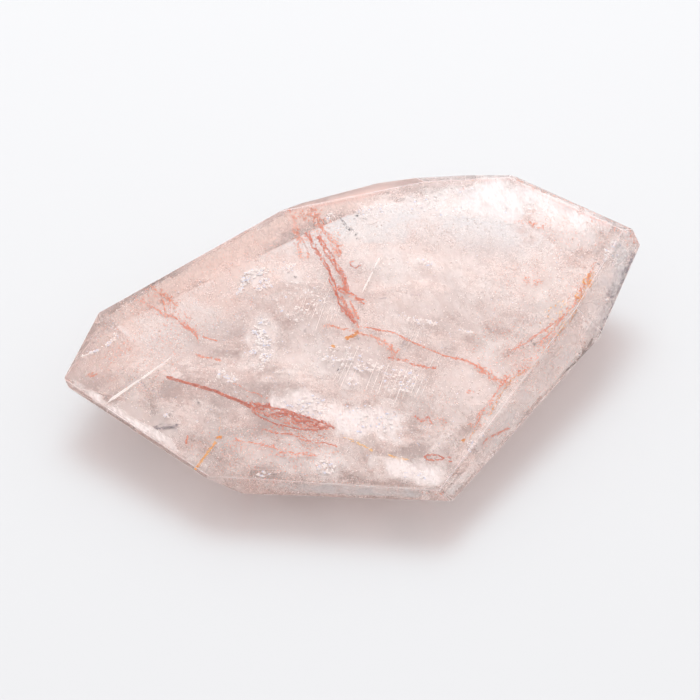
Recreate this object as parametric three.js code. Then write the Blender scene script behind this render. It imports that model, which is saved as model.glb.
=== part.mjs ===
import * as THREE from "three";
import { ConvexGeometry } from "three/addons/geometries/ConvexGeometry.js";

// Polished freeform of pale pink quartz with reddish veins, lying on its base facet.
// Millimetres, +Z up, the long axis along X, the front edge towards -Y.
// The stone is one solid of flat ground facets, so it is written as a grinding list.
// Every facet is set by three sizes:
//   heading  the way it faces in plan, in degrees from +X turning towards +Y
//   tilt     the angle between its outward direction and straight up, in degrees
//   reach    its distance in millimetres from the middle of the stone

// Height of the middle of the stone over the surface it lies on.
const MIDDLE_HEIGHT = 9.5;

// Corners closer together than this are one corner.
const SAME_CORNER = 0.02;

// Tilt of a facet that stands upright and of one that faces straight down.
const UPRIGHT = 90;
const DOWN = 180;

// The walls on the left and behind lean in a little towards the bottom.
const WALL_TILT = 97;

const FACETS = {
  // Top of the stone: one large facet that slopes down to the front edge.
  table: { heading: -114, tilt: 9.7, reach: 3.8 },

  // Right side, sloping out and down from the table.
  sideFace: { heading: -55, tilt: 57, reach: 21.0 },
  endFace: { heading: -50.5, tilt: 55.5, reach: 22.3 },
  tipCut: { heading: -16, tilt: 80, reach: 42.9 },
  endWall: { heading: -36, tilt: 103, reach: 31.2 },

  // Narrow upright strip along the front and thin bevel along the front left rim.
  frontStrip: { heading: -111, tilt: UPRIGHT, reach: 26.55 },
  leftRim: { heading: -140.5, tilt: 55, reach: 27.1 },
  leftTip: { heading: 170, tilt: 92, reach: 46.8 },

  // Walls on the left and along the back.
  leftWall: { heading: 142, tilt: WALL_TILT, reach: 40.0 },
  backLeftWall: { heading: 108, tilt: WALL_TILT, reach: 27.1 },
  backWallLeft: { heading: 95.5, tilt: WALL_TILT, reach: 27.7 },
  backWallMiddle: { heading: 77, tilt: WALL_TILT, reach: 30.2 },
  backWallRight: { heading: 68, tilt: WALL_TILT, reach: 32.45 },
  rightWall: { heading: 44.5, tilt: WALL_TILT, reach: 37.5 },

  // Bevels that take the edge off the table along the back.
  backBevel: { heading: 96.5, tilt: 22, reach: 17.6 },
  backRim: { heading: 80.5, tilt: 24, reach: 20.05 },
  rightRim: { heading: 34, tilt: 24, reach: 24.0 },

  // Underside: facets that draw in from the rim to the base.
  underFront: { heading: -107, tilt: 144, reach: 18.3 },
  underSide: { heading: -46, tilt: 146, reach: 16.1 },
  underEnd: { heading: 4.5, tilt: 135, reach: 30.7 },
  underBack: { heading: 80.5, tilt: 138, reach: 19.7 },
  underBackLeft: { heading: 108.5, tilt: 140, reach: 19.3 },
  underTip: { heading: 152.5, tilt: 140, reach: 27.1 },
  underLeft: { heading: -148.5, tilt: 138, reach: 24.0 },
  base: { heading: 0, tilt: DOWN, reach: MIDDLE_HEIGHT },
};

// Plane of one facet, with its normal pointing out of the stone.
function facetPlane({ heading, tilt, reach }) {
  const turn = THREE.MathUtils.degToRad(heading);
  const lean = THREE.MathUtils.degToRad(tilt);
  const across = Math.sin(lean);
  const outward = new THREE.Vector3(across * Math.cos(turn), across * Math.sin(turn), Math.cos(lean));
  const middle = new THREE.Vector3(0, 0, MIDDLE_HEIGHT);
  return { outward, offset: reach + outward.dot(middle) };
}

// Point where three facet planes meet, or null where two of them are parallel.
function meetingPoint(first, second, third) {
  const secondCrossThird = second.outward.clone().cross(third.outward);
  const spread = first.outward.dot(secondCrossThird);
  if (Math.abs(spread) < 1e-6) {
    return null;
  }
  const point = secondCrossThird.multiplyScalar(first.offset);
  point.addScaledVector(third.outward.clone().cross(first.outward), second.offset);
  point.addScaledVector(first.outward.clone().cross(second.outward), third.offset);
  return point.divideScalar(spread);
}

// Corners of the stone: the meeting points that no facet cuts away.
function stoneCorners(planes) {
  const corners = [];
  for (let i = 0; i < planes.length; i += 1) {
    for (let j = i + 1; j < planes.length; j += 1) {
      for (let k = j + 1; k < planes.length; k += 1) {
        const point = meetingPoint(planes[i], planes[j], planes[k]);
        const kept = point !== null
          && planes.every(({ outward, offset }) => outward.dot(point) <= offset + 1e-6)
          && corners.every((corner) => corner.distanceTo(point) > SAME_CORNER);
        if (kept) {
          corners.push(point);
        }
      }
    }
  }
  return corners;
}

const corners = stoneCorners(Object.values(FACETS).map(facetPlane));
const geometry = new ConvexGeometry(corners);

// The stone lies centred over the origin, its base facet on the surface.
geometry.computeBoundingBox();
const box = geometry.boundingBox;
geometry.translate(-(box.min.x + box.max.x) / 2, -(box.min.y + box.max.y) / 2, -box.min.z);

const pinkQuartz = new THREE.MeshStandardMaterial({ color: 0xe6cfc9, roughness: 0.08, metalness: 0 });

const stone = new THREE.Mesh(geometry, pinkQuartz);
stone.name = "stone";

const group = new THREE.Group();
group.add(stone);

export default group;
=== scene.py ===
import math
import random

import bmesh
import bpy
import numpy as np
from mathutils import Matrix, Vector, noise as field
from mathutils.bvhtree import BVHTree


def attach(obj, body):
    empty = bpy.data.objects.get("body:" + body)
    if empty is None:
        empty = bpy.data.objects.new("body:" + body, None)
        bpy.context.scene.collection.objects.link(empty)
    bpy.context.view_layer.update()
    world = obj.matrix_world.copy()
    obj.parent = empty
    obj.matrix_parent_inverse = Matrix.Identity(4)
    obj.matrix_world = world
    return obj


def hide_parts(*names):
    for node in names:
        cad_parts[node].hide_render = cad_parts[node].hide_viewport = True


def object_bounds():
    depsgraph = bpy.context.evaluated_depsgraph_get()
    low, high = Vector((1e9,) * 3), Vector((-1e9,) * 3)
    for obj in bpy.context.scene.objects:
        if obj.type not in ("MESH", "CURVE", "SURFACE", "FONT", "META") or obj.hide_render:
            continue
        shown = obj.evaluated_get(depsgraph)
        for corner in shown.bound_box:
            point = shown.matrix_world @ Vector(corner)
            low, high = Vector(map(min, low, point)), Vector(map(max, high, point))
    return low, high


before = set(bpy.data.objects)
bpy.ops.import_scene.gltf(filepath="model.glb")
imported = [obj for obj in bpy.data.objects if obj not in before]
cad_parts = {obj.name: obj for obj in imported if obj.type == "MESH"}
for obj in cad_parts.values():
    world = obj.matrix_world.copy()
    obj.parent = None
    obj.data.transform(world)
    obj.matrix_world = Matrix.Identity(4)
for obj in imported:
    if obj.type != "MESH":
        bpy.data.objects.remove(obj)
solid_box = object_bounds()


# The view
# The stone is seen from 45 degrees above its front edge, a little from the left.
# What is grown into the quartz is placed along the same lines of sight, so the camera comes first.
CAMERA_TURN = math.radians(-15.6)
CAMERA_HEIGHT = math.radians(45)
CAMERA_DISTANCE = 0.463
LOOKED_AT = Vector((0.000004, 0.011091, 0.0))
LENS = 150
SENSOR = 36
PICTURE_SIDE = 700


def new_object(name, data):
    made = bpy.data.objects.new(name, data)
    bpy.context.scene.collection.objects.link(made)
    return made


camera_data = bpy.data.cameras.new("camera")
camera_data.lens = LENS
camera_data.sensor_width = SENSOR
camera_data.clip_start = 0.01
camera = new_object("camera", camera_data)
towards_camera = Vector((
    math.sin(CAMERA_TURN) * math.cos(CAMERA_HEIGHT),
    -math.cos(CAMERA_TURN) * math.cos(CAMERA_HEIGHT),
    math.sin(CAMERA_HEIGHT),
))
camera_tilt = towards_camera.to_track_quat("Z", "Y")
camera.location = LOOKED_AT + towards_camera * CAMERA_DISTANCE
camera.rotation_euler = camera_tilt.to_euler()
bpy.context.scene.camera = camera


# The stone
# One piece of pale pink, cloudy quartz, ground by hand to flat facets on a wheel and polished.
# The polish has softened every edge a little. The bevel along the back was ground and left matt.
EDGE_SOFTENING = 0.00022
SOFTENED_FROM = math.radians(4)
SAME_FACET = math.radians(0.4)
QUARTZ_INDEX = 1.544
MATT_BEVEL = (96.5, 22)
# The way along which the body turns white: paler quartz, and painted light for the lit floor seen
# through the back facets.
TOWARDS_PALE_AND_LIT_END = (0.5, 0.85, 0.0)
LAMP_TINT = (0.78, 0.672, 0.645, 1)
# Places of the node outputs that are used.
OBJECT_COORDINATES = 3
ATTRIBUTE_FACTOR = 2
MIXED_COLOUR = 2
VECTOR_VALUE = 1
SHADOW_RAY = 1


class Signal:
    """A shader socket that can be used in a sum, so that material maths reads as it is meant."""

    def __init__(self, tree, socket):
        self.tree = tree
        self.socket = socket

    def _math(self, operation, first, second):
        settings = {"operation": operation}
        return add_node(self.tree, "ShaderNodeMath", settings, {0: first, 1: second})[0]

    def __add__(self, other):
        return self._math("ADD", self, other)

    def __mul__(self, other):
        return self._math("MULTIPLY", self, other)

    def __rsub__(self, other):
        return self._math("SUBTRACT", other, self)

    __radd__ = __add__
    __rmul__ = __mul__

    def clamped(self):
        return add_node(self.tree, "ShaderNodeClamp", {}, {"Value": self})[0]

    def ramp(self, low, high, start=0.0, end=1.0):
        settings = {"interpolation_type": "SMOOTHSTEP"}
        inputs = {"Value": self, "From Min": low, "From Max": high, "To Min": start, "To Max": end}
        return add_node(self.tree, "ShaderNodeMapRange", settings, inputs)[0]


def add_node(tree, kind, settings, inputs):
    """Adds a node: its settings, then a value or a link for each socket. Returns its outputs."""
    node = tree.nodes.new(kind)
    for name, value in settings.items():
        setattr(node, name, value)
    for name, value in inputs.items():
        if isinstance(value, Signal):
            tree.links.new(value.socket, node.inputs[name])
        else:
            node.inputs[name].default_value = value
    return [Signal(tree, output) for output in node.outputs]


def new_material(name):
    material = bpy.data.materials.new(name)
    material.use_nodes = True
    material.node_tree.nodes.clear()
    return material, material.node_tree


def mixed(tree, factor, first, second):
    """Colour between two colours, by a factor that varies over the surface."""
    inputs = {0: factor, 6: first, 7: second}
    return add_node(tree, "ShaderNodeMix", {"data_type": "RGBA"}, inputs)[MIXED_COLOUR]


def place(tree, stretch=(1.0, 1.0, 1.0), turn=(0.0, 0.0, 0.0)):
    """Object coordinates in metres, stretched and turned for a pattern that runs one way."""
    coordinates = add_node(tree, "ShaderNodeTexCoord", {}, {})[OBJECT_COORDINATES]
    inputs = {"Vector": coordinates, "Scale": stretch, "Rotation": turn}
    return add_node(tree, "ShaderNodeMapping", {}, inputs)[0]


def noise(tree, scale, detail=3.0, roughness=0.5, where=None):
    inputs = {
        "Vector": where or place(tree), "Scale": scale, "Detail": detail, "Roughness": roughness,
    }
    return add_node(tree, "ShaderNodeTexNoise", {}, inputs)[0]


def vector_value(tree, operation, first, second):
    """A number worked out from two vectors, such as their product or the distance between them."""
    inputs = {0: first, 1: second}
    return add_node(tree, "ShaderNodeVectorMath", {"operation": operation}, inputs)[VECTOR_VALUE]


def attribute(tree, name):
    return add_node(tree, "ShaderNodeAttribute", {"attribute_name": name}, {})[ATTRIBUTE_FACTOR]


def plain_surface(tree, inputs):
    """Gives a material its one surface, opaque or covering thinly, with no depth under it."""
    surface = add_node(tree, "ShaderNodeBsdfPrincipled", {}, inputs)[0]
    add_node(tree, "ShaderNodeOutputMaterial", {}, {"Surface": surface})


def stone_mesh():
    """The ground solid with whole flat facets instead of loose triangles."""
    shape = bmesh.new()
    shape.from_mesh(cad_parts["stone"].data)
    bmesh.ops.remove_doubles(shape, verts=shape.verts, dist=1e-6)
    bmesh.ops.dissolve_limit(
        shape, angle_limit=SAME_FACET, verts=shape.verts, edges=shape.edges, delimit=set()
    )
    bmesh.ops.recalc_face_normals(shape, faces=shape.faces)
    mesh = bpy.data.meshes.new("quartz_freeform")
    shape.to_mesh(mesh)
    shape.free()
    return mesh


def facing_way(heading, tilt):
    """The way a facet faces, from its heading in plan and its tilt from straight up, in degrees."""
    heading, tilt = math.radians(heading), math.radians(tilt)
    lean = math.sin(tilt)
    return Vector((lean * math.cos(heading), lean * math.sin(heading), math.cos(tilt)))


quartz_mesh = stone_mesh()
matt = quartz_mesh.attributes.new("matt", "FLOAT", "FACE")
for polygon in quartz_mesh.polygons:
    is_matt = polygon.normal.dot(facing_way(*MATT_BEVEL)) > 0.999
    matt.data[polygon.index].value = float(is_matt)
    polygon.use_smooth = True

quartz = new_object("quartz_freeform", quartz_mesh)
softened = quartz.modifiers.new("softened_edges", "BEVEL")
softened.width = EDGE_SOFTENING
softened.segments = 3
softened.limit_method = "ANGLE"
softened.angle_limit = SOFTENED_FROM
softened.harden_normals = True
# The softened edges take the second of the two materials below. Its whiter patches are partly
# wear and partly a painted highlight along the edges.
softened.material = 1


def quartz_finish(name, dullness, highlight_whiteness, transmission):
    """Polished quartz, clear enough to show what is in it, dull and whiter where it is worn.
    The whiter patches are partly wear and partly a painted highlight along the edges.
    """
    finish, tree = new_material(name)
    matt_facet = attribute(tree, "matt")
    wheel_way = place(tree, stretch=(1, 0.16, 1), turn=(0, 0, 0.5))
    wheel_marks = noise(tree, 900, detail=0, where=wheel_way)
    handling = noise(tree, 130, detail=2)
    wear_and_highlight = noise(tree, 260, detail=2).ramp(0.42, 0.56)
    polish = 0.01 + 0.05 * handling.ramp(0.52, 0.72) + matt_facet * 0.4 + wear_and_highlight * dullness
    inputs = {"Height": wheel_marks * 0.25 + handling * 0.5, "Strength": 0.05, "Distance": 0.0004}
    bump = add_node(tree, "ShaderNodeBump", {}, inputs)[0]
    cloudiness = noise(tree, 110, roughness=0.65).ramp(0.38, 0.66)
    pale_and_lit_reach = vector_value(tree, "DOT_PRODUCT", place(tree), TOWARDS_PALE_AND_LIT_END)
    body = mixed(tree, cloudiness, (0.99, 0.90, 0.875, 1), (1.0, 0.96, 0.945, 1))
    # Whiter towards the back right end: partly paler quartz, partly painted light for the lit floor
    # seen through the back facets.
    body = mixed(tree, pale_and_lit_reach.ramp(0.016, 0.032), body, (1.0, 0.995, 1.0, 1))
    body = mixed(tree, matt_facet, body, (0.90, 0.72, 0.68, 1))
    # Whiter in patches: worn frosting, and a painted highlight where the softened edges catch the
    # light.
    body = mixed(tree, wear_and_highlight * highlight_whiteness, body, (1.0, 0.99, 0.985, 1))
    inputs = {
        "Base Color": body, "Roughness": polish, "IOR": QUARTZ_INDEX,
        "Transmission Weight": transmission, "Normal": bump,
    }
    surface = add_node(tree, "ShaderNodeBsdfPrincipled", {}, inputs)[0]
    inputs = {"Color": (0.98, 0.76, 0.70, 1), "Density": 7.0}
    absorption = add_node(tree, "ShaderNodeVolumeAbsorption", {}, inputs)[0]
    # A lamp's light goes straight through with a tint, so that it reaches what has grown inside.
    straight = add_node(tree, "ShaderNodeBsdfTransparent", {}, {"Color": LAMP_TINT})[0]
    for_lamps = add_node(tree, "ShaderNodeLightPath", {}, {})[SHADOW_RAY]
    surface = add_node(tree, "ShaderNodeMixShader", {}, {0: for_lamps, 1: surface, 2: straight})[0]
    add_node(tree, "ShaderNodeOutputMaterial", {}, {"Surface": surface, "Volume": absorption})
    quartz_mesh.materials.append(finish)


quartz_finish("polished_pink_quartz", dullness=0.0, highlight_whiteness=0.0, transmission=0.94)
quartz_finish("worn_and_highlit_quartz_edge", dullness=0.30, highlight_whiteness=1.0, transmission=0.50)
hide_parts("stone")
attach(quartz, "root")


# Haze
# The quartz is cloudy with healed cracks: thin curved veils of tiny flat grains, some white, some
# pink from iron, a few grey, and broken films of cavities. They grew shut inside the crystal.
GRAIN_CLEARANCE = 0.0003
TRIES_AT_ONCE = 60000
facet_faces = np.array([polygon.normal[:] for polygon in quartz_mesh.polygons])
facet_reach = np.array([polygon.normal.dot(polygon.center) for polygon in quartz_mesh.polygons])
table_facet = max(quartz_mesh.polygons, key=lambda facet: facet.area * facet.normal.z).index


def growth_tree():
    """Geometry Nodes that set a flat closed chip on each point, turned and sized as it says."""
    tree = bpy.data.node_groups.new("grown_chips", "GeometryNodeTree")
    for name, kind in (
        ("Geometry", "NodeSocketGeometry"), ("Sides", "NodeSocketInt"),
        ("Tumble", "NodeSocketFloat"), ("Seed", "NodeSocketInt"),
        ("Material", "NodeSocketMaterial"),
    ):
        tree.interface.new_socket(name, in_out="INPUT", socket_type=kind)
    tree.interface.new_socket("Geometry", in_out="OUTPUT", socket_type="NodeSocketGeometry")
    spots, sides, tumble, seed, finish = add_node(tree, "NodeGroupInput", {}, {})[:5]

    def of_point(name):
        settings = {"data_type": "FLOAT_VECTOR"}
        return add_node(tree, "GeometryNodeInputNamedAttribute", settings, {"Name": name})[0]

    inputs = {"Vertices": sides, "Radius Top": 0.0, "Radius Bottom": 0.5, "Depth": 1.0}
    chip = add_node(tree, "GeometryNodeMeshCone", {}, inputs)[0]
    inputs = {"Geometry": chip, "Translation": (0.0, 0.0, -0.4)}
    centred = add_node(tree, "GeometryNodeTransform", {}, inputs)[0]
    align = "FunctionNodeAlignRotationToVector"
    flat = add_node(tree, align, {"axis": "Z"}, {"Vector": of_point("facing")})[0]
    inputs = {"Rotation": flat, "Vector": of_point("along")}
    turned = add_node(tree, align, {"axis": "X", "pivot_axis": "Z"}, inputs)[0]
    back = tumble * -1.0
    low = add_node(tree, "ShaderNodeCombineXYZ", {}, {0: back, 1: back, 2: back})[0]
    high = add_node(tree, "ShaderNodeCombineXYZ", {}, {0: tumble, 1: tumble, 2: tumble})[0]
    inputs = {0: low, 1: high, "Seed": seed}
    loose = add_node(tree, "FunctionNodeRandomValue", {"data_type": "FLOAT_VECTOR"}, inputs)[0]
    loose_turn = add_node(tree, "FunctionNodeEulerToRotation", {}, {0: loose})[0]
    inputs = {"Rotation": turned, "Rotate By": loose_turn}
    lie = add_node(tree, "FunctionNodeRotateRotation", {"rotation_space": "LOCAL"}, inputs)[0]
    inputs = {"Points": spots, "Instance": centred, "Rotation": lie, "Scale": of_point("sizes")}
    placed = add_node(tree, "GeometryNodeInstanceOnPoints", {}, inputs)[0]
    whole = add_node(tree, "GeometryNodeRealizeInstances", {}, {"Geometry": placed})[0]
    inputs = {"Geometry": whole, "Material": finish}
    finished = add_node(tree, "GeometryNodeSetMaterial", {}, inputs)[0]
    add_node(tree, "NodeGroupOutput", {}, {"Geometry": finished})
    return tree


grown_chips = growth_tree()


def inclusion(name, mesh):
    """One piece of what has grown inside the quartz. It belongs to the stone and moves with it."""
    piece = new_object(name, mesh)
    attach(piece, "root")
    return piece


def grow(name, spots, finish, sides=3, tumble=0.6, seed=1):
    """Makes one piece of many chips. A spot is (point, along, facing, sizes in mm, tone)."""
    centres, alongs, facings, sizes, tones = zip(*spots)
    points = bpy.data.meshes.new(name + "_points")
    points.from_pydata(centres, [], [])
    for label, values, unit in (
        ("along", alongs, 1), ("facing", facings, 1), ("sizes", sizes, 1000),
    ):
        layer = points.attributes.new(label, "FLOAT_VECTOR", "POINT")
        values = np.array([value[:] for value in values], dtype=np.float32)
        layer.data.foreach_set("vector", values.ravel() / unit)
    layer = points.attributes.new("tone", "FLOAT", "POINT")
    layer.data.foreach_set("value", np.array(tones, dtype=np.float32))
    carrier = new_object(name + "_carrier", points)
    growth = carrier.modifiers.new("growth", "NODES")
    growth.node_group = grown_chips
    values = {"Sides": sides, "Tumble": tumble, "Seed": seed, "Material": finish}
    for item in grown_chips.interface.items_tree:
        if item.in_out == "INPUT" and item.name in values:
            growth[item.identifier] = values[item.name]
    evaluated = carrier.evaluated_get(bpy.context.evaluated_depsgraph_get())
    mesh = bpy.data.meshes.new_from_object(evaluated)
    mesh.name = name
    bpy.data.objects.remove(carrier)
    bpy.data.meshes.remove(points)
    inclusion(name, mesh)


def any_way(dice):
    turn = dice.uniform(0, 2 * math.pi)
    rise = dice.uniform(-1, 1)
    flat = math.sqrt(1 - rise * rise)
    return Vector((flat * math.cos(turn), flat * math.sin(turn), rise))


def haze_spots(count, seed, veil_size, veil_thickness, loose_share, large, deepest):
    """Grains on curved veils, the zero surfaces of a smooth field, and some loose between them."""
    dice = random.Random(seed)
    counted = np.random.default_rng(seed)
    low, high = np.array(solid_box[0]), np.array(solid_box[1])
    spots = []
    while len(spots) < count:
        tries = counted.uniform(low, high, (TRIES_AT_ONCE, 3))
        room = facet_reach - tries @ facet_faces.T
        keep = (room > GRAIN_CLEARANCE).all(axis=1) & (room[:, table_facet] < deepest)
        for point in tries[keep]:
            point = Vector(point)
            veil = abs(field.noise(point / veil_size + Vector((seed, 0, 0))))
            healed = field.noise(point / (veil_size * 0.6) + Vector((0, seed, 0)))
            if (veil < veil_thickness and healed > -0.1) or dice.random() < loose_share:
                length = large * (0.45 + 0.9 * dice.random() ** 2.5)
                sizes = (length, length * dice.uniform(0.5, 1.0), length * 0.16)
                spots.append((point, any_way(dice), any_way(dice), sizes, dice.random()))
                if len(spots) == count:
                    break
    return spots


healed_crack_grains, tree = new_material("healed_crack_grains")
tone = attribute(tree, "tone")
pinkness = noise(tree, 60).ramp(0.35, 0.65)
pale = mixed(tree, pinkness, (0.9, 0.895, 0.891, 1), (0.895, 0.864, 0.855, 1))
pink = mixed(tree, pinkness, (0.891, 0.837, 0.819, 1), (0.882, 0.756, 0.702, 1))
colour = mixed(tree, tone.ramp(0.50, 0.54), pale, pink)
colour = mixed(tree, tone.ramp(0.975, 0.98), colour, (0.55, 0.50, 0.52, 1))
gloss = noise(tree, 700).ramp(0.3, 0.7, 0.12, 0.45)
plain_surface(tree, {"Base Color": colour, "Roughness": gloss, "Specular IOR Level": 0.5})

deep_haze = haze_spots(
    24000, seed=3, veil_size=0.011, veil_thickness=0.055, loose_share=0.12, large=0.36,
    deepest=0.02,
)
grow("haze_grains", deep_haze, healed_crack_grains, tumble=0.0)
top_haze = haze_spots(
    7000, seed=12, veil_size=0.007, veil_thickness=0.05, loose_share=0.10, large=0.34,
    deepest=0.0025,
)
grow("haze_grains_top", top_haze, healed_crack_grains, tumble=0.0, seed=3)

SHEET_THICKNESS = 0.00003
CRACK_STEP = 0.0009
CRACK_REACH = 0.056
CRACK_CLEARANCE = 0.00032
CRACK_SWELL = 0.0022
CRACK_RIPPLE = 0.0005
CRACK_PATCHES = (0.7, 2.0, 4)
CRACK_FAMILIES = ((70, 30, 0.0095, 4), (-130, 38, 0.0140, 9))
MIDDLE_OF_STONE = Vector((0, 0, 0.0095))
RIM_FADE = 0.0006
TABLE_FADE = 0.0020


def clearance(points):
    """How far points lie inside the nearest facet, in metres; less than nothing outside."""
    return (facet_reach - np.array(points) @ facet_faces.T).min(axis=-1)


def thin_sheet(name, corners, cells, layers, finish):
    """Makes a thin closed inclusion from cells and the values that vary over them."""
    mesh = bpy.data.meshes.new(name)
    mesh.from_pydata(corners, [], cells)
    for label, values in layers.items():
        layer = mesh.attributes.new(label, "FLOAT", "POINT")
        layer.data.foreach_set("value", np.array(values, dtype=np.float32))
    shape = bmesh.new()
    shape.from_mesh(mesh)
    loose = [corner for corner in shape.verts if not corner.link_faces]
    bmesh.ops.delete(shape, geom=loose, context="VERTS")
    shape.to_mesh(mesh)
    shape.free()
    for polygon in mesh.polygons:
        polygon.use_smooth = True
    mesh.materials.append(finish)
    piece = inclusion(name, mesh)
    piece.visible_shadow = False
    thick = piece.modifiers.new("thin_sheet", "SOLIDIFY")
    thick.thickness = SHEET_THICKNESS
    thick.offset = 0


def crack_sheets(name, families, finish):
    """Curved patchy sheets across the quartz, in families of (heading, tilt, spacing, seed)."""
    steps = np.arange(-CRACK_REACH, CRACK_REACH + CRACK_STEP / 2, CRACK_STEP)
    corners, cells, fades, tints = [], [], [], []
    for heading, tilt, spacing, seed in families:
        dice = random.Random(seed)
        facing = facing_way(heading, tilt)
        first = facing.orthogonal().normalized()
        second = facing.cross(first)
        offset = -CRACK_REACH
        while offset < CRACK_REACH:
            offset += spacing * dice.uniform(0.6, 1.4)
            middle = facing * offset + MIDDLE_OF_STONE
            shift = Vector((dice.uniform(0, 9), dice.uniform(0, 9), dice.uniform(0, 9)))
            flat = np.array([(middle + first * u + second * v)[:] for u in steps for v in steps])
            room = clearance(flat)
            if room.max() < 0.001:
                continue
            for index in np.nonzero(room > -0.002)[0]:
                point = Vector(flat[index])
                swell = field.noise(point * 60 + shift) * CRACK_SWELL
                swell += field.noise(point * 230 + shift) * CRACK_RIPPLE
                flat[index] += np.array(facing) * swell
            room = clearance(flat)
            kept = room > CRACK_CLEARANCE
            under_table = facet_reach[table_facet] - flat @ facet_faces[table_facet]
            for index in np.nonzero(kept)[0]:
                point = Vector(flat[index])
                broad = 0.5 + 0.5 * field.fractal(point * 75 + shift, *CRACK_PATCHES)
                tints.append(0.5 + 0.5 * field.fractal(point * 140 - shift, *CRACK_PATCHES))
                from_rim = min(1, (room[index] - CRACK_CLEARANCE) / RIM_FADE)
                from_rim *= min(1, under_table[index] / TABLE_FADE)
                fades.append(from_rim * min(1, max(0, (broad - 0.40) * 5)))
            number = np.full(len(flat), -1)
            number[kept] = np.arange(kept.sum()) + len(corners)
            corners.extend(flat[kept].tolist())
            grid = number.reshape(len(steps), len(steps))
            around = (grid[:-1, :-1], grid[1:, :-1], grid[1:, 1:], grid[:-1, 1:])
            around = np.stack(around, axis=-1).reshape(-1, 4)
            around = around[(around >= 0).all(axis=1)]
            cells.extend(around[np.array(fades)[around].max(axis=1) > 0].tolist())
    thin_sheet(name, corners, cells, {"fade": fades, "tint": tints}, finish)


healed_crack_film, tree = new_material("healed_crack_film")
fine = noise(tree, 560, detail=1, roughness=0.7)
pink_film = mixed(tree, fine.ramp(0.35, 0.65), (0.873, 0.747, 0.711, 1), (0.891, 0.828, 0.81, 1))
film_tint = attribute(tree, "tint").ramp(0.48, 0.74)
cover = (0.16 + 0.40 * fine.ramp(0.36, 0.66)) * attribute(tree, "fade")
plain_surface(tree, {
    "Base Color": mixed(tree, film_tint, pink_film, (0.9, 0.891, 0.886, 1)),
    "Roughness": fine.ramp(0.3, 0.7, 0.35, 0.7), "Specular IOR Level": 0.2,
    "Alpha": cover.clamped(),
})
crack_sheets("healed_cracks", CRACK_FAMILIES, healed_crack_film)


# Rust-red veins
# Iron oxide crept along cracks before they healed and left brownish red films. Seen close they are
# fine slivers and scales. Their lines are in picture points, and their depths in millimetres.
PICTURE_STEP = SENSOR / LENS / PICTURE_SIDE
DEEPEST_SHARE = 0.93
MILLIMETRE = 0.001
sight_right = camera_tilt @ Vector((1, 0, 0))
sight_up = camera_tilt @ Vector((0, 1, 0))
facet_tree = BVHTree.FromPolygons(
    [vertex.co.copy() for vertex in quartz_mesh.vertices],
    [list(polygon.vertices) for polygon in quartz_mesh.polygons],
)
DEPTH_SWAY = 0.35
CHIP_CLEARANCE = 0.06
TILTED_SHARE = 0.22
LONGEST_TILTED = 0.8
VEIN_DEPTH = 0.5
SCALE_DEPTH = 0.6
THREAD_STEP = 3
RUST_SLIVER = (0.50, 0.13, 0.03)
FINE_SLIVER = (0.34, 0.09, 0.02)
RUST_SCALE = (0.34, 0.22, 0.03)
IRON_SCALE = (0.22, 0.13, 0.03)


def sight_line(x, y):
    """Where the sight at picture point (x, y) enters, its way inside, its room, the facet's way."""
    centre = PICTURE_SIDE / 2
    sight = -towards_camera + PICTURE_STEP * ((x - centre) * sight_right - (y - centre) * sight_up)
    sight.normalize()
    entry, facing, _, _ = facet_tree.ray_cast(camera.location, sight)
    if entry is None:
        return None
    cosine = -sight.dot(facing)
    straight = math.sqrt(1 - (1 - cosine * cosine) / QUARTZ_INDEX ** 2)
    bent = (sight / QUARTZ_INDEX + facing * (cosine / QUARTZ_INDEX - straight)).normalized()
    way_out = facet_tree.ray_cast(entry + bent * 1e-6, bent)[0]
    if way_out is None:
        return None
    return entry, bent, (way_out - entry).length, facing


def inside(x, y, depth):
    """The point that shows at picture point (x, y), from its depth in millimetres."""
    line = sight_line(x, y)
    if line is None:
        return None
    entry, bent, room, _ = line
    return entry + bent * min(depth * MILLIMETRE, room * DEEPEST_SHARE)


def picture_spot(dice, x, y, run, depth, chip, tones):
    """A spot under picture point (x, y), lengthwise along run and flat to the facet above it."""
    depth *= 1 + DEPTH_SWAY * field.noise(Vector((x * 0.05, y * 0.05, 3.0)))
    line = sight_line(x, y)
    ahead = inside(x + run[0], y + run[1], depth)
    if line is None or ahead is None:
        return []
    entry, bent, room, facing = line
    point = entry + bent * min(depth * MILLIMETRE, room * DEEPEST_SHARE)
    sizes = (chip[0] * dice.uniform(0.55, 1.35), chip[1] * dice.uniform(0.6, 1.3), chip[2])
    needed = CHIP_CLEARANCE + TILTED_SHARE * min(sizes[0], LONGEST_TILTED)
    if clearance(point) < needed * MILLIMETRE:
        return []
    return [(point, (ahead - point).normalized(), facing, sizes, dice.uniform(*tones))]


def strand(dice, path, width, count, depth, chip, tones, gaps=-1.0):
    """Chips scattered lengthwise along a line of picture points, fewer where gaps is higher."""
    legs = list(zip(path, path[1:]))
    lengths = [math.dist(start, end) for start, end in legs]
    spots = []
    for _ in range(count):
        (x0, y0), (x1, y1) = legs[dice.choices(range(len(legs)), lengths)[0]]
        share = dice.random()
        length = math.hypot(x1 - x0, y1 - y0)
        run = ((x1 - x0) / length, (y1 - y0) / length)
        aside = max(-1, min(1, dice.gauss(0, 0.45))) * width / 2
        x, y = x0 + (x1 - x0) * share - run[1] * aside, y0 + (y1 - y0) * share + run[0] * aside
        if field.noise(Vector((x * 0.25, y * 0.25, width))) > gaps:
            stray = dice.gauss(0, 0.16)
            run = (run[0] - run[1] * stray, run[1] + run[0] * stray)
            spots += picture_spot(dice, x, y, run, depth, chip, tones)
    return spots


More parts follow.
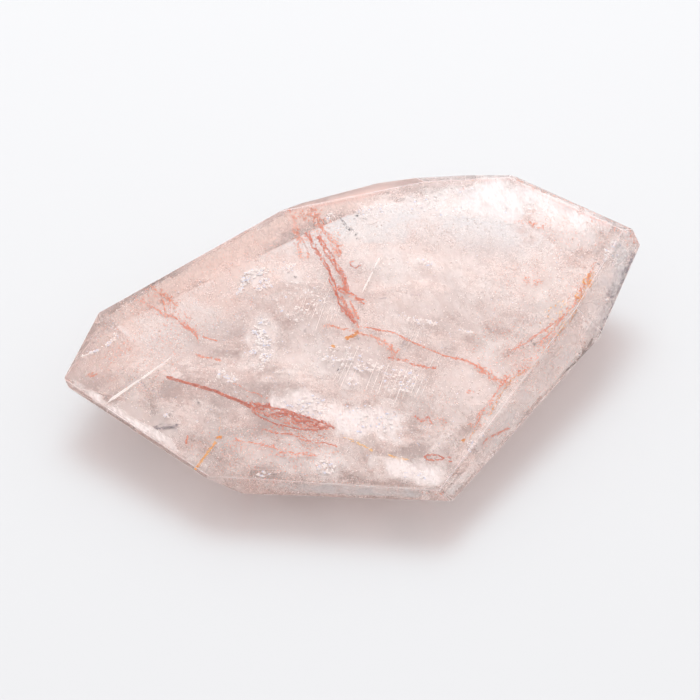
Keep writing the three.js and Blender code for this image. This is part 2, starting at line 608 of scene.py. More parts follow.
def patch(dice, x, y, wide, tall, slant, count, depth, chip, tones, gaps=-0.15):
    """Chips in an oval patch round a picture point, slanted by some degrees, with holes."""
    lean = math.radians(slant)
    spots = []
    for _ in range(count):
        turn, out = dice.uniform(0, 2 * math.pi), math.sqrt(dice.random())
        off = (math.cos(turn) * out * wide / 2, math.sin(turn) * out * tall / 2)
        px = x + off[0] * math.cos(lean) - off[1] * math.sin(lean)
        py = y + off[0] * math.sin(lean) + off[1] * math.cos(lean)
        if field.noise(Vector((px * 0.3, py * 0.3, wide))) > gaps:
            way = lean + dice.gauss(0, 0.5)
            spots += picture_spot(dice, px, py, (math.cos(way), math.sin(way)), depth, chip, tones)
    return spots


def between(dice, upper, lower, count, depth, chip, tones, gaps=-0.2):
    """Chips over the whole width between two lines of picture points that run side by side."""
    spots = []
    for _ in range(count):
        leg, share, across_share = dice.randrange(len(upper) - 1), dice.random(), dice.random()
        ends = []
        for edge in (upper, lower):
            (x0, y0), (x1, y1) = edge[leg], edge[leg + 1]
            ends.append((x0 + (x1 - x0) * share, y0 + (y1 - y0) * share, x1 - x0, y1 - y0))
        x, y, run_x, run_y = (a + (b - a) * across_share for a, b in zip(*ends))
        length = math.hypot(run_x, run_y)
        if field.noise(Vector((x * 0.12 + y * 0.1, (y - x * 0.3) * 0.5, 5.0))) > gaps:
            stray = dice.gauss(0, 0.12)
            run = (run_x / length - run_y / length * stray, run_y / length + run_x / length * stray)
            spots += picture_spot(dice, x, y, run, depth, chip, tones)
    return spots


def net(dice, path, width, threads, density, depth, tones, gaps=-0.35):
    """A broad vein: thin threads that stray across its width and meet."""
    spots = []
    for _ in range(threads):
        stray = dice.uniform(0, 60)
        points = []
        for (x0, y0), (x1, y1) in zip(path, path[1:]):
            length = math.dist((x0, y0), (x1, y1))
            for part in range(max(1, round(length / THREAD_STEP))):
                share = part * THREAD_STEP / length
                x, y = x0 + (x1 - x0) * share, y0 + (y1 - y0) * share
                aside = width * 0.9 * field.noise(Vector((stray, x * 0.11, y * 0.11)))
                points.append((x - (y1 - y0) / length * aside, y + (x1 - x0) / length * aside))
        points.append(path[-1])
        long = sum(math.dist(start, end) for start, end in zip(points, points[1:]))
        spread = dice.uniform(1.1, 2.4)
        spots += strand(dice, points, spread, int(long * density), depth, FINE_SLIVER, tones, gaps)
    return spots


def iron_finish(name, dark, middle, pale):
    """Iron oxide in three shades by the tone of each chip, mottled a little, dull."""
    finish, tree = new_material(name)
    tone = attribute(tree, "tone")
    mottle = noise(tree, 1500, detail=2)
    shade = mixed(tree, tone.ramp(0.0, 0.5), dark, middle)
    shade = mixed(tree, tone.ramp(0.5, 1.0), shade, pale)
    worn = mixed(tree, mottle.ramp(0.45, 0.75, 0.0, 0.35), shade, pale)
    gloss = mottle.ramp(0.3, 0.7, 0.4, 0.7)
    plain_surface(tree, {"Base Color": worn, "Roughness": gloss, "Specular IOR Level": 0.3})
    return finish


rust = iron_finish(
    "iron_rust", (0.42, 0.045, 0.012, 1), (0.74, 0.155, 0.060, 1), (0.92, 0.42, 0.27, 1)
)

dice = random.Random(21)
LOWER_VEIN_TOP = (
    (167, 376), (195, 384), (217, 390.5), (229, 395.5), (250, 404), (261, 401.5), (283, 409),
    (298, 415), (315, 419), (334, 426.5),
)
LOWER_VEIN_BOTTOM = (
    (167, 378), (195, 386.5), (217, 393), (229, 398.5), (246, 406), (258, 413), (282, 423),
    (300, 427.5), (318, 430), (334, 429),
)
LOWER_VEIN_TAIL = ((167, 377), (195, 385), (217, 391.5), (229, 397), (250, 405))
LOWER_VEIN_MIDDLE = (
    (245, 403), (258, 406), (270, 411), (285, 415.5), (300, 421), (318, 424.5), (334, 428),
)
LOWER_VEIN_UPPER_RIM = ((250, 403.5), (283, 409.5), (315, 419.5), (334, 427))
LOWER_VEIN_LOWER_RIM = ((252, 411), (262, 418), (276, 424), (300, 429), (318, 430))
THREAD_BELOW = ((262, 430), (283, 434), (298, 436), (317, 441.5), (337, 446.5))
THREAD_ABOVE = ((228, 381), (250, 391), (267, 398))
lower_vein = between(
    dice, LOWER_VEIN_TOP, LOWER_VEIN_BOTTOM, 3600, SCALE_DEPTH, FINE_SLIVER, (0.3, 0.9), -0.15
)
lower_vein += net(dice, LOWER_VEIN_MIDDLE, 12, 4, 3.6, VEIN_DEPTH, (0.0, 0.5), -0.15)
lower_vein += net(dice, LOWER_VEIN_TAIL, 2.6, 3, 3.2, VEIN_DEPTH, (0.0, 0.5))
lower_vein += strand(dice, LOWER_VEIN_UPPER_RIM, 2.5, 260, VEIN_DEPTH, RUST_SLIVER, (0.1, 0.5))
lower_vein += strand(dice, LOWER_VEIN_LOWER_RIM, 2.2, 330, VEIN_DEPTH, FINE_SLIVER, (0.0, 0.5))
lower_vein += net(dice, THREAD_BELOW, 4, 2, 2.2, SCALE_DEPTH, (0.2, 0.7), -0.2)
lower_vein += net(dice, THREAD_ABOVE, 3, 1, 1.6, 0.7, (0.5, 0.9), -0.2)
lower_vein += patch(dice, 300, 432, 60, 12, 10, 200, 1.9, RUST_SCALE, (0.6, 1.0), 0.0)
grow("rust_vein_lower", lower_vein, rust, sides=4, tumble=0.35, seed=2)

UPPER_STRANDS = (
    (((308, 232), (312, 241), (316, 249), (322, 259), (327, 268), (331, 277), (334, 284),
      (336, 292)), 6.0, 3, 3.6, (0.0, 0.55)),
    (((336, 292), (340, 302), (346, 313), (352, 320), (358, 326)), 4.0, 3, 3.4, (0.0, 0.5)),
    (((318, 236), (326, 249), (331, 256), (336, 265), (341, 274), (345, 283), (348, 291)),
     7.5, 4, 3.2, (0.05, 0.65)),
    (((338, 287), (348, 292), (353, 297), (360, 300), (364, 304)), 7.0, 3, 3.2, (0.15, 0.7)),
    (((341, 297), (347, 307), (354, 318)), 4.0, 2, 3.0, (0.1, 0.6)),
    (((350, 301), (354, 309), (359, 319)), 2.6, 1, 3.0, (0.3, 0.7)),
    (((290, 208), (293, 217), (295, 229), (299, 240), (300, 256)), 7.0, 3, 1.2, (0.35, 0.9)),
    (((311, 208), (317, 220), (322, 230), (332, 243), (340, 256)), 10.0, 4, 1.5, (0.35, 0.9)),
)
UPPER_SCRATCHES = (
    (((350, 262), (351, 265.5), (355, 268), (357.5, 267.5)), 1.0, 40, (0.0, 0.2)),
    (((350, 262), (354, 261)), 0.8, 12, (0.3, 0.5)),
    (((357, 266.5), (361, 265.5)), 1.2, 14, (0.0, 0.3)),
)
UPPER_CLOUD = (
    (292, 216, 12, 12, 40), (296, 228, 12, 10, 60), (300, 240, 12, 16, 70), (304, 256, 8, 12, 80),
    (306, 216, 18, 10, 20), (318, 213, 18, 8, 10), (322, 226, 14, 22, 60), (331, 238, 12, 22, 70),
    (338, 250, 9, 16, 60), (310, 236, 10, 20, 60),
)
bright_rust = iron_finish(
    "iron_bright_rust", (0.46, 0.040, 0.010, 1), (0.78, 0.16, 0.050, 1), (0.92, 0.47, 0.31, 1)
)
upper_vein = []
for path, width, threads, density, tones in UPPER_STRANDS:
    upper_vein += net(dice, path, width, threads, density, VEIN_DEPTH, tones)
    count = int(40 * width)
    upper_vein += strand(dice, path, width, count, SCALE_DEPTH, IRON_SCALE, (0.6, 0.95), 0.0)
for path, width, count, tones in UPPER_SCRATCHES:
    upper_vein += strand(dice, path, width, count, VEIN_DEPTH, FINE_SLIVER, tones)
for x, y, wide, tall, slant in UPPER_CLOUD:
    upper_vein += patch(
        dice, x, y, wide, tall, slant, 130, VEIN_DEPTH, IRON_SCALE, (0.45, 1.0), 0.0
    )
grow("rust_vein_upper", upper_vein, bright_rust, sides=4, tumble=0.4, seed=3)

# Between the two veins run threads of the same iron, faint clouds of scales, and fine dust.
IRON_THREAD = (0.26, 0.08, 0.02)
DUST_GRAIN = (0.15, 0.10, 0.04)
THREADS = (
    (((358, 326), (373, 328.5), (385, 330.5), (394, 333), (403, 337), (413, 342), (423, 347),
      (443, 355), (461, 359.5), (474, 364)), 1.5, 230, (0.4, 0.7)),
    (((324, 326), (335, 326.5), (347, 330), (363, 334), (377, 338), (386, 343), (392, 349),
      (398, 354)), 2.4, 150, (0.6, 0.9)),
    (((388, 357), (402, 360), (413, 364), (420, 366.5), (429, 367.5), (436, 368)),
     2.2, 120, (0.3, 0.6)),
    (((456, 357), (463, 359.5), (473, 363.5), (480, 368), (486, 374)), 2.6, 80, (0.4, 0.75)),
    (((476, 366), (486, 371), (494, 379), (503, 384)), 6, 60, (0.5, 0.9)),
    (((150, 286), (160, 294), (170, 299), (178, 306)), 3, 60, (0.6, 0.95)),
    (((184, 322), (190, 329), (196, 336), (199, 343)), 1.4, 45, (0.4, 0.8)),
    (((187, 326), (191, 328), (195, 332), (198, 338)), 1.2, 30, (0.4, 0.7)),
    (((203, 336.5), (209, 338.5), (217, 341)), 1.4, 26, (0.4, 0.8)),
    (((196, 354), (203, 357), (213, 359), (221, 359.5)), 1.3, 34, (0.4, 0.8)),
    (((163, 299), (166, 316)), 1.2, 16, (0.5, 0.9)),
    (((424, 456.5), (427, 454.8), (434, 454.3), (440, 455.8), (444, 458)), 1.0, 50, (0.05, 0.4)),
    (((424, 456.5), (428, 459.3), (434, 460.3), (441, 459.5), (444, 458)), 0.9, 40, (0.1, 0.45)),
    (((448, 457.5), (451, 457.5)), 1.2, 6, (0.2, 0.4)),
    (((449, 461.5), (452, 461.5)), 1.2, 6, (0.2, 0.4)),
    (((187, 433), (188, 438), (186, 444)), 2.4, 36, (0.4, 0.8)),
    (((516, 180), (560, 198), (600, 215), (634, 231)), 2.6, 200, (0.6, 1.0)),
    (((596, 262), (584, 286), (572, 306), (556, 326), (540, 346)), 4.0, 120, (0.4, 0.9)),
    (((562, 318), (545, 330), (528, 341), (512, 350)), 3.0, 70, (0.4, 0.8)),
    (((508, 377), (497, 392), (484, 409), (474, 427)), 3.0, 90, (0.4, 0.8)),
    (((140, 300), (158, 310), (176, 318), (190, 330)), 3.0, 70, (0.3, 0.8)),
    (((235, 440), (262, 444), (290, 452), (318, 456)), 3.0, 70, (0.4, 0.8)),
    (((415, 415), (421, 421), (428, 417), (433, 424)), 2.0, 36, (0.1, 0.5)),
    (((483.5, 443.5), (488, 438), (494, 436), (502.5, 431.5), (510, 428)), 1.6, 40, (0.3, 0.7)),
)
THREAD_CLOUDS = (
    (386, 345, 22, 9, 35, 80), (396, 353, 8, 12, 60, 40), (480, 369, 14, 9, 30, 60),
    (493, 378, 12, 8, 40, 40), (508, 377, 16, 6, -20, 46), (523, 370, 12, 5, -25, 40),
    (532, 281, 22, 9, 12, 60), (470, 391, 10, 6, -10, 20), (470, 425, 6, 5, 0, 18),
    (160, 295, 30, 16, 30, 110), (170, 330, 30, 26, 60, 60), (250, 455, 60, 30, 0, 40),
    (290, 460, 60, 24, 0, 40), (500, 345, 70, 46, 0, 90), (560, 230, 50, 26, 20, 50),
    (92, 375, 12, 5, -15, 40), (520, 222, 34, 4, 4, 60), (537, 226, 18, 5, 10, 40),
    (462, 188, 5, 5, 0, 14), (475, 180, 5, 4, 0, 12), (440, 420, 14, 5, 20, 16),
    (423, 493.5, 10, 3, 0, 20), (442, 494, 8, 2, 0, 16), (576, 298, 16, 60, 32, 90),
    (548, 340, 56, 18, -48, 110), (515, 374, 50, 14, -42, 90), (488, 412, 46, 10, -52, 60),
    (150, 300, 60, 24, 30, 120), (185, 320, 44, 12, 42, 80), (120, 350, 40, 14, -40, 50),
    (255, 448, 90, 16, 8, 90), (310, 446, 60, 10, 12, 60), (600, 222, 60, 8, 24, 90),
    (560, 200, 60, 8, 22, 60),
)
IRON_DUST = (
    (140, 345, 90, 110, 20, 900), (265, 452, 160, 54, 4, 900), (210, 285, 170, 90, -30, 700),
    (540, 325, 130, 150, 30, 900), (340, 488, 210, 12, 3, 220), (535, 395, 150, 40, -50, 400),
    (400, 410, 120, 60, 0, 300), (570, 225, 90, 40, 25, 300), (632, 237, 14, 22, 10, 240),
)
fine_rust = []
for path, width, count, tones in THREADS:
    fine_rust += strand(dice, path, width * 0.6, count, VEIN_DEPTH, IRON_THREAD, tones, -0.5)
    fine_rust += net(dice, path, width * 1.6, 2, 1.8, VEIN_DEPTH, tones, -0.2)
for x, y, wide, tall, slant, count in THREAD_CLOUDS:
    fine_rust += patch(
        dice, x, y, wide, tall, slant, count * 2, 0.55, IRON_SCALE, (0.35, 0.95), -0.05
    )
for x, y, wide, tall, slant, count in IRON_DUST:
    for depth in (0.4, 1.2):
        fine_rust += patch(
            dice, x, y, wide, tall, slant, count, depth, DUST_GRAIN, (0.45, 1.0), 0.0
        )
grow("rust_threads", fine_rust, bright_rust, sides=4, tumble=0.4, seed=4)


# Orange and golden marks
# Where the iron is purer it turned bright orange: a stain along the right edge of the table, a few
# beads, and fine golden needles that cross the quartz.
gold = iron_finish(
    "iron_gold", (0.44, 0.06, 0.004, 1), (0.86, 0.34, 0.02, 1), (0.97, 0.66, 0.26, 1)
)
NEEDLE = (0.55, 0.20, 0.05)
FINE_NEEDLE = (0.14, 0.08, 0.03)
TABLE_EDGE = (
    (469, 439), (473.5, 432), (480, 424), (490, 414), (497, 400), (506, 387), (513, 378),
    (522, 373), (538, 363), (545, 347), (552, 339), (568, 325), (576, 312), (580, 300), (586, 288),
    (595, 271),
)
EDGE_STAINS = (
    (588, 280, 9, 16, 30, 130, 0.7, (0.3, 0.9)), (579, 295, 7, 14, 20, 50, 0.7, (0.4, 0.95)),
    (556, 318, 40, 26, -50, 60, 1.2, (0.7, 1.0)),
)
BEADS_AND_NEEDLES = (
    (((346, 339), (350, 337), (354, 335), (358, 332.5)), 4.0, 60, 0.7, NEEDLE, (0.2, 0.6)),
    (((330.5, 347.5), (334, 346.5)), 3.4, 18, 0.7, NEEDLE, (0.4, 0.7)),
    (((195.5, 469), (205, 455.5), (215.5, 442)), 2.2, 110, 0.8, NEEDLE, (0.5, 0.85)),
    (((217, 438.5), (220.5, 436)), 3.6, 20, 0.7, NEEDLE, (0.35, 0.6)),
    (((218, 434), (221, 423), (219, 413)), 0.8, 30, 0.9, FINE_NEEDLE, (0.3, 0.8)),
    (((389, 455), (398, 458), (408, 460)), 2.0, 40, 0.9, NEEDLE, (0.65, 0.95)),
    (((343, 436), (358, 443), (373, 451)), 1.8, 26, 1.2, NEEDLE, (0.8, 1.0)),
    (((462, 441), (465, 440)), 3.0, 12, 0.8, NEEDLE, (0.2, 0.6)),
)
marks = strand(dice, TABLE_EDGE, 2.6, 520, 0.4, IRON_THREAD, (0.0, 0.6), -0.2)
for x, y, wide, tall, slant, count, depth, tones in EDGE_STAINS:
    marks += patch(dice, x, y, wide, tall, slant, count, depth, RUST_SCALE, tones)
for path, width, count, depth, chip, tones in BEADS_AND_NEEDLES:
    marks += strand(dice, path, width, count, depth, chip, tones)
grow("orange_marks", marks, gold, sides=4, tumble=0.3, seed=5)


# Dark grains
# Grains of a black mineral, caught in the crystal one by one or in short chains, and the smoky
# streaks of the same mineral, much finer, at the thick right end.
dark_mineral = iron_finish(
    "dark_mineral", (0.012, 0.010, 0.018, 1), (0.14, 0.12, 0.16, 1), (0.62, 0.57, 0.66, 1)
)
BLACK_GRAIN = (0.24, 0.16, 0.10)
GREY_STREAK = (0.60, 0.09, 0.03)
BLACK_GRAINS = (
    (342, 218, 3), (343.5, 221, 4), (345, 224, 5), (347, 227, 4), (350, 229.5, 4), (352.5, 231, 2),
    (356, 233.5, 3), (358, 238.5, 2), (354, 212, 5), (357, 215.5, 5), (111.5, 369, 2),
    (123.5, 368.5, 2), (198.5, 402.5, 4), (170, 415, 2), (296, 277, 2), (305.5, 330, 3),
    (338, 370, 3), (367, 364, 3), (532, 340, 4), (534, 344, 3), (99, 333, 2), (94, 343.5, 2),
    (268, 338, 1), (289, 462, 1), (285, 455, 1), (258, 460, 1), (595, 281, 1),
)
GRAIN_CHAINS = (
    (((154, 427), (166, 428), (180, 424.5)), 3.6, 120, (0.1, 0.8)),
    (((489, 200), (495, 200.5)), 1.6, 8, (0.5, 0.9)),
    (((500, 203), (505, 207), (510, 211)), 1.6, 20, (0.3, 0.8)),
    (((379, 299), (386, 298)), 1.4, 10, (0.2, 0.7)),
    (((411, 295), (420, 295)), 1.2, 10, (0.5, 0.9)),
    (((596, 263), (600, 265), (601, 270)), 1.4, 14, (0.1, 0.5)),
    (((135.5, 373.5), (148.5, 390), (162, 392)), 1.2, 40, (0.5, 1.0)),
    (((404, 341), (401, 349)), 2.0, 12, (0.6, 1.0)),
)
SMOKY_STREAKS = (
    (((634, 253), (623, 280), (608, 310), (597, 334)), 10, 620),
    (((620, 268), (612, 290), (601, 314), (591, 331)), 12, 400),
    (((156, 428), (167, 426), (178, 427)), 7, 60),
)
grains = []
for x, y, count in BLACK_GRAINS:
    grains += patch(dice, x, y, 3.0, 3.0, 0, count * 2, 0.8, BLACK_GRAIN, (0.0, 0.4), -1)
for path, width, count, tones in GRAIN_CHAINS:
    grains += strand(dice, path, width, count, 0.9, FINE_SLIVER, tones)
for path, width, count in SMOKY_STREAKS:
    grains += strand(dice, path, width, count, 0.7, GREY_STREAK, (0.35, 1.0), -0.1)
grow("dark_grains", grains, dark_mineral, sides=4, tumble=0.35, seed=6)


# Bright cracks
# Small open cracks that throw the light back: angular white flakes in clusters, a few of them
# painted bluish as a glint of thin cracks, and sugary grains between them. They lean to the light.
bright_crack, tree = new_material("bright_crack")
tone = attribute(tree, "tone")
veined = noise(tree, 900, detail=2)
white = mixed(tree, veined.ramp(0.35, 0.65), (1.0, 0.985, 0.975, 1), (1.0, 1.0, 1.0, 1))
shaded = mixed(tree, tone.ramp(0.45, 1.0), white, (0.97, 0.86, 0.81, 1))
# The bluish flakes are a painted glint: thin cracks that shimmer blue in the light.
with_painted_blue_glint = mixed(tree, tone.ramp(0.07, 0.10), (0.76, 0.83, 1.0, 1), shaded)
plain_surface(tree, {"Base Color": with_painted_blue_glint, "Roughness": veined.ramp(0.3, 0.7, 0.08, 0.25)})

BRIGHT_FLAKE = (0.52, 0.34, 0.04)
SUGAR_GRAIN = (0.30, 0.20, 0.06)
LEAN_TO_LIGHT = 0.3
away = Vector((-math.sin(CAMERA_TURN), math.cos(CAMERA_TURN), 0))


def leaning_to_light(spots):
    """The same spots, each chip leaning a little to the light behind the stone."""
    return [
        (point, along, (facing + away * LEAN_TO_LIGHT).normalized(), sizes, tone)
        for point, along, facing, sizes, tone in spots
    ]


BRIGHT_CLUSTERS = (
    (252, 274, 26, 8, -20, 50), (263, 271, 14, 6, -15, 24), (246, 280, 7, 10, 10, 20),
    (240, 289, 5, 12, 30, 24), (266, 284, 14, 12, 40, 34), (258, 288, 10, 6, 0, 14),
    (290, 267, 14, 8, -10, 24), (264, 322, 10, 7, 0, 24), (258, 331, 16, 9, 20, 40),
    (263, 342, 15, 16, 30, 70), (255, 351, 12, 8, 0, 26), (266, 357, 12, 9, 0, 34),
    (262, 365, 8, 8, 0, 14), (226, 376, 24, 10, 15, 40), (369, 367, 30, 8, -3, 50),
    (353, 381, 14, 9, 0, 26), (424, 262, 16, 5, 20, 20), (425, 322, 44, 6, 12, 44),
    (466, 331, 14, 3, 12, 12), (407, 471, 44, 14, 12, 70), (405, 464, 12, 6, 0, 20),
    (330, 218, 8, 10, 40, 22), (338, 231, 6, 6, 0, 10), (314, 213, 6, 5, 0, 10),
    (198.5, 421.5, 4, 4, 0, 8), (167, 416, 7, 5, 0, 10), (110, 340, 20, 8, -40, 26),
    (91, 352.5, 18, 2, -18, 16), (482, 434, 6, 5, 0, 10), (472, 446, 12, 12, 0, 24),
    (265, 474, 20, 6, 0, 14), (306, 404, 50, 22, 8, 120), (365, 420, 60, 30, 10, 120),
    (326, 466, 20, 16, 0, 40), (510, 200, 110, 26, 6, 190), (440, 205, 60, 22, 0, 70),
    (615, 254, 22, 26, 20, 60), (607, 300, 3, 3, 0, 8), (589, 315, 3, 3, 0, 8),
    (400, 380, 40, 24, 0, 60), (370, 212, 26, 12, 0, 36), (345, 355, 60, 20, 0, 60),
    (300, 300, 50, 40, 0, 50), (577, 356, 6, 30, 45, 30),
)
flakes = []
for x, y, wide, tall, slant, count in BRIGHT_CLUSTERS:
    count = int(count * 1.5)
    flakes += patch(dice, x, y, wide, tall, slant, count, 0.6, BRIGHT_FLAKE, (0.0, 0.5), -0.1)
grow("bright_flakes", leaning_to_light(flakes), bright_crack, sides=5, tumble=0.4, seed=7)

SUGAR_FIELDS = (
    (330, 340, 420, 200, -5, 900), (180, 350, 200, 130, 0, 1300), (270, 330, 200, 150, 0, 1300),
    (370, 380, 200, 150, 0, 1200), (330, 440, 260, 70, 0, 900), (480, 350, 160, 120, 0, 700),
    (450, 240, 280, 110, 0, 900), (580, 250, 90, 90, 0, 350), (140, 330, 110, 60, -40, 350),
)
sugar = []
for x, y, wide, tall, slant, count in SUGAR_FIELDS:
    for depth in (0.5, 1.2, 2.4):
        sugar += patch(
            dice, x, y, wide, tall, slant, count // 2, depth, SUGAR_GRAIN, (0.0, 0.7), 0.0
        )
grow("sugar_grains", leaning_to_light(sugar), bright_crack, sides=4, tumble=0.9, seed=8)


# Milky clouds, partly painted light
# Broad milk in the quartz, white under the back edge and round the cracks, pink along the back left
# rim. The white clouds under the back right edge and behind the right side face are partly
# painted light, for the lit floor that shows through the quartz there. Each cloud is a thin curved
# sheet of fine cavities that the crystal grew shut over.
CLOUD_STEP = 3
CLOUD_CLEARANCE = 0.00025


def cloud_sheets(name, clouds, finish):
    """Thin curved sheets, one under each oval of the picture, thinning out at the rim."""
    corners, cells, fades = [], [], []
    for x, y, wide, tall, slant, depth, strength in clouds:
        lean = math.radians(slant)
        rows, columns = max(6, int(tall / CLOUD_STEP)), max(6, int(wide / CLOUD_STEP))
        number = {}
        for row in range(rows + 1):
            for column in range(columns + 1):
                u, v = column / columns * 2 - 1, row / rows * 2 - 1
                px = x + u * wide / 2 * math.cos(lean) - v * tall / 2 * math.sin(lean)
                py = y + u * wide / 2 * math.sin(lean) + v * tall / 2 * math.cos(lean)
                swell = 0.4 * field.noise(Vector((px * 0.03, py * 0.03, x)))
                point = inside(px, py, depth * (1 + swell))
                if point is None or clearance(point) < CLOUD_CLEARANCE:
                    continue
                number[row, column] = len(corners)
                corners.append(point[:])
                ragged = 0.6 * field.noise(Vector((px * 0.05, py * 0.08, y)))
                ragged += 0.3 * field.noise(Vector((px * 0.2, py * 0.3, x)))
                fades.append(strength * min(1, max(0, (1 - math.hypot(u, v) + ragged) * 1.8)))
        for row in range(rows):
            for column in range(columns):
                around = (
                    (row, column), (row, column + 1), (row + 1, column + 1), (row + 1, column),
                )
                cell = [number[corner] for corner in around if corner in number]
                if len(cell) == 4 and any(fades[corner] > 0 for corner in cell):
                    cells.append(cell)
    thin_sheet(name, corners, cells, {"fade": fades}, finish)


# The white rows at the back right and along the right side face are partly painted light.
MILK_AND_PAINTED_LIGHT_CLOUDS = (
    (510, 200, 150, 50, 4, 0.5, 1.0), (575, 210, 80, 40, 22, 0.5, 1.0),
    (440, 205, 90, 34, 0, 0.7, 0.45), (306, 406, 76, 38, 8, 0.6, 0.95),
    (365, 420, 100, 50, 8, 0.6, 1.0), (407, 470, 80, 30, 6, 0.5, 1.0),
    (326, 466, 40, 26, 0, 1.0, 0.6), (348, 380, 30, 20, 0, 0.9, 0.6),
    (615, 254, 26, 34, 20, 0.8, 0.9), (262, 342, 36, 60, 10, 0.9, 0.55),
    (255, 275, 50, 30, -20, 0.9, 0.5), (295, 275, 40, 26, 0, 1.0, 0.5),
    (375, 212, 50, 26, 0, 1.0, 0.40), (425, 262, 40, 16, 10, 0.9, 0.5),
    (355, 240, 30, 40, 0, 1.2, 0.4), (200, 325, 170, 80, -28, 1.8, 0.18),
    (430, 285, 260, 140, 6, 1.8, 0.44), (340, 350, 200, 110, 10, 1.4, 0.42),
    (145, 350, 90, 80, 30, 1.8, 0.18), (540, 290, 120, 100, 40, 1.6, 0.36),
    (290, 455, 160, 48, 5, 1.3, 0.46), (470, 385, 150, 100, -30, 1.4, 0.42),
    (540, 395, 180, 60, -50, 1.0, 0.5), (600, 300, 100, 60, -60, 1.1, 0.45),
    (340, 195, 130, 38, -12, 0.9, 0.40), (150, 420, 120, 50, 28, 1.0, 0.34),
    (560, 225, 90, 50, 30, 0.9, 0.5), (615, 280, 90, 34, -58, 0.9, 0.75),
    (565, 360, 44, 22, -45, 0.6, 1.0), (500, 430, 120, 44, -50, 0.9, 0.55),
    (430, 478, 90, 16, 2, 0.8, 0.6), (600, 325, 60, 24, -58, 0.5, 0.7),
    (560, 385, 70, 22, -52, 0.5, 0.5), (345, 490, 170, 12, 3, 0.35, 0.9),
    (470, 486, 50, 14, -8, 0.35, 0.9), (135, 423, 170, 12, 32, 0.35, 0.9),
    (633, 238, 26, 30, 0, 0.5, 0.7),
)
PINK_CLOUDS = (
    (195, 264, 170, 44, -33, 0.6, 0.85), (255, 232, 170, 44, -30, 0.6, 0.85),
    (325, 204, 150, 36, -16, 0.6, 0.75), (150, 300, 110, 70, -30, 0.8, 0.55),
    (235, 280, 150, 60, -28, 0.8, 0.45), (110, 355, 80, 60, -50, 0.8, 0.35),
)


def cloud_finish(name, thin_dark, thin_pale, dense):
    """Milk in curdled streaks that are drawn out one way, in two thin shades and a dense one."""
    finish, tree = new_material(name)
    drawn_out = place(tree, stretch=(1, 0.4, 1), turn=(0, 0, 0.9))
    curdled = noise(tree, 520, roughness=0.75, where=drawn_out)
    strong = attribute(tree, "fade").ramp(0.3, 0.6)
    streaks = 0.4 + 0.6 * curdled.ramp(0.38, 0.62)
    cover = (1.0 - strong) * (0.75 + 0.25 * curdled) + strong * streaks
    thin = mixed(tree, curdled.ramp(0.35, 0.65), thin_dark, thin_pale)
    inputs = {
        "Base Color": mixed(tree, strong, thin, dense),
        "Roughness": curdled.ramp(0.3, 0.7, 0.3, 0.6),
        "Alpha": (cover * attribute(tree, "fade")).clamped(),
    }
    plain_surface(tree, inputs)
    return finish


milk_and_painted_light_cloud = cloud_finish(
    "milk_and_painted_light_cloud", (0.9, 0.855, 0.837, 1), (0.9, 0.9, 0.9, 1), (0.94, 0.93, 0.935, 1)
)
pink_cloud = cloud_finish(
    "pink_cloud", (0.76, 0.62, 0.575, 1), (0.84, 0.75, 0.72, 1), (0.78, 0.67, 0.63, 1)
)
cloud_sheets("milk_and_painted_light_clouds", MILK_AND_PAINTED_LIGHT_CLOUDS, milk_and_painted_light_cloud)
cloud_sheets("pink_clouds", PINK_CLOUDS, pink_cloud)


# Growth lines, bars and a painted edge highlight
# Straight white bars where a crack ends on a face, and sets of fine parallel lines that mark how
# the crystal grew. Each is a row of long flat chips that overlap. The three rows under the top
# edge of the front strip are partly a frosted edge and partly a painted highlight of that edge.
BAR_FROM = 1.7
CHIPS_AT = range(14, 87, 9)
GROWTH_LINES_AND_EDGE_HIGHLIGHT = (
    (109, 401.5, 141, 379, 4.6), (111, 399, 139, 379.5, 3.6), (143, 377.5, 171.5, 357, 3.4),
    (144, 378, 158, 367, 3.0), (83, 356, 98, 350, 1.8), (380, 257, 374, 268, 3.4),
    # From (300, 481.5) to (440, 491): rows under the top edge of the front strip, partly a frosted
    # edge and partly a painted highlight of that edge.
    (372, 273, 363, 291, 3.4), (300, 481.5, 345, 486, 1.2), (340, 485.5, 392, 489, 1.4),
    (385, 489, 440, 491, 1.8), (330, 289, 324, 302, 1.4), (307, 295, 301, 312, 1.2),
    (312.5, 299, 306, 316, 1.2), (324, 306, 316, 329, 0.9), (303, 300, 298, 313, 0.8),
    (331, 306, 326, 321, 0.8), (335, 307, 330, 322, 0.8), (339, 309, 334, 322, 0.8),
    (319, 300, 312, 318, 0.8), (357, 350, 340, 388, 1.2), (352, 352, 337, 384, 0.8),
    (347, 354, 333, 382, 0.7), (362, 356, 350, 384, 0.7), (377, 361, 366, 388, 1.2),
    (383, 362, 371, 392, 0.9), (389, 363, 377, 395, 1.6), (395, 366, 383, 396, 0.9),
    (401, 368, 390, 396, 1.2), (407, 370, 396, 399, 1.6), (413, 371, 402, 399, 0.9),
    (419, 373, 409, 398, 1.3), (425, 374, 415, 397, 0.9), (430, 376, 421, 395, 0.8),
    (437, 350, 430, 366, 0.8), (442, 352, 435, 370, 0.8), (415, 330, 408, 345, 0.8),
    (420, 329, 413, 344, 0.8), (330, 275, 322, 290, 0.7),
)
lines = []
for x0, y0, x1, y1, width in GROWTH_LINES_AND_EDGE_HIGHLIGHT:
    length = math.dist((x0, y0), (x1, y1))
    run = ((x1 - x0) / length, (y1 - y0) / length)
    chip = (length * 0.075, width * 0.085, 0.02)
    tones = (0.12, 0.95) if width < BAR_FROM else (0.1, 0.3)
    for percent in CHIPS_AT:
        share = percent / 100
        x, y = x0 + (x1 - x0) * share, y0 + (y1 - y0) * share
        lines += picture_spot(dice, x, y, run, 0.6, chip, tones)
grow("growth_lines_and_edge_highlight", lines, bright_crack, sides=6, tumble=0.0, seed=9)


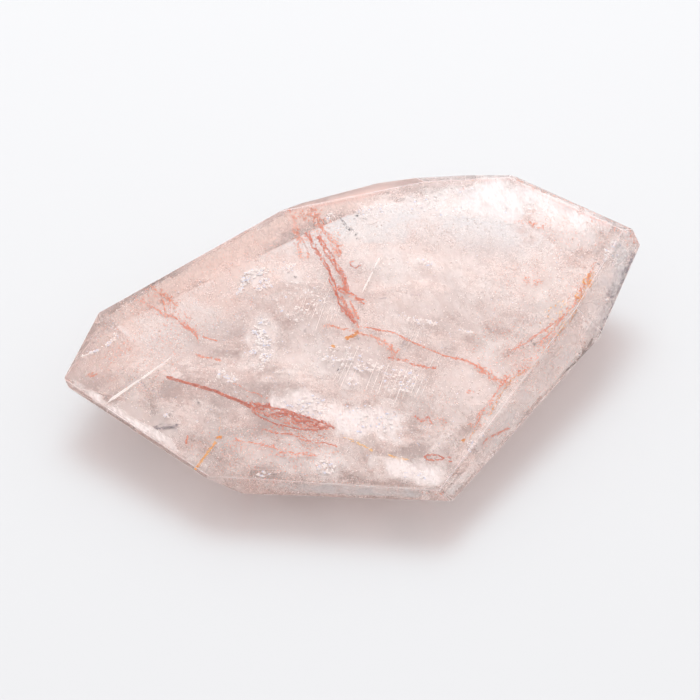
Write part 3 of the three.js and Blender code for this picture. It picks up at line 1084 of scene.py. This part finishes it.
# The floor and the light
# The stone lies on plain pale paper under one broad soft light from behind and above, with white
# all round. The light fades towards its rim, so that the shadow is soft.
FLOOR_HALF = 2.0
FLOOR_LEVEL = -0.00005
SOFTBOX_SIDE = 0.90
SOFTBOX_DISTANCE = 0.9
SOFTBOX_WATTS = 23.4
PARAMETRIC = 5
floor_mesh = bpy.data.meshes.new("floor")
floor_corners = ((-1, -1), (1, -1), (1, 1), (-1, 1))
floor_mesh.from_pydata(
    [(x * FLOOR_HALF, y * FLOOR_HALF, FLOOR_LEVEL) for x, y in floor_corners],
    [], [(0, 1, 2, 3)],
)
floor = new_object("floor", floor_mesh)
pale_paper, tree = new_material("pale_paper")
shade = noise(tree, 2.0, detail=2)
paper = mixed(tree, shade, (0.585, 0.583, 0.592, 1), (0.600, 0.598, 0.607, 1))
plain_surface(tree, {"Base Color": paper, "Roughness": 0.75, "Specular IOR Level": 0.2})
floor_mesh.materials.append(pale_paper)

light_data = bpy.data.lights.new("softbox", "AREA")
light_data.shape = "SQUARE"
light_data.size = SOFTBOX_SIDE
light_data.energy = SOFTBOX_WATTS
light_data.color = (0.94, 0.985, 1.0)
light_data.use_nodes = True
tree = light_data.node_tree
tree.nodes.clear()
across_box = add_node(tree, "ShaderNodeNewGeometry", {}, {})[PARAMETRIC]
off_centre = vector_value(tree, "DISTANCE", across_box, (0.5, 0.5, 0.0))
inputs = {"Color": (1, 1, 1, 1), "Strength": off_centre.ramp(0.08, 0.5, 1.0, 0.0)}
glow = add_node(tree, "ShaderNodeEmission", {}, inputs)[0]
add_node(tree, "ShaderNodeOutputLight", {}, {"Surface": glow})
light = new_object("softbox", light_data)
light.visible_glossy = False
light.visible_transmission = False
across = Vector((math.cos(CAMERA_TURN), math.sin(CAMERA_TURN), 0))
up = Vector((0, 0, 1))
towards_light = (-0.02 * across + 0.48 * away + up).normalized()
light.location = towards_light * SOFTBOX_DISTANCE
light.rotation_euler = towards_light.to_track_quat("Z", "Y").to_euler()

world = bpy.data.worlds.new("studio")
scene = bpy.context.scene
scene.world = world
world.use_nodes = True
tree = world.node_tree
tree.nodes.clear()
direction = add_node(tree, "ShaderNodeTexCoord", {}, {})[0]
lit_side = (0.12 * across + 0.40 * away + 0.85 * up).normalized()
facing_light = vector_value(tree, "DOT_PRODUCT", direction, lit_side)
inputs = {"Color": (1.0, 0.975, 0.972, 1), "Strength": facing_light.ramp(-0.4, 1.0, 0.58, 1.00)}
background = add_node(tree, "ShaderNodeBackground", {}, inputs)[0]
add_node(tree, "ShaderNodeOutputWorld", {}, {"Surface": background})
scene.view_settings.view_transform = "Standard"
scene.view_settings.look = "None"
scene.cycles.max_bounces = 14
scene.cycles.diffuse_bounces = 5
scene.cycles.transmission_bounces = 14
scene.cycles.transparent_max_bounces = 24
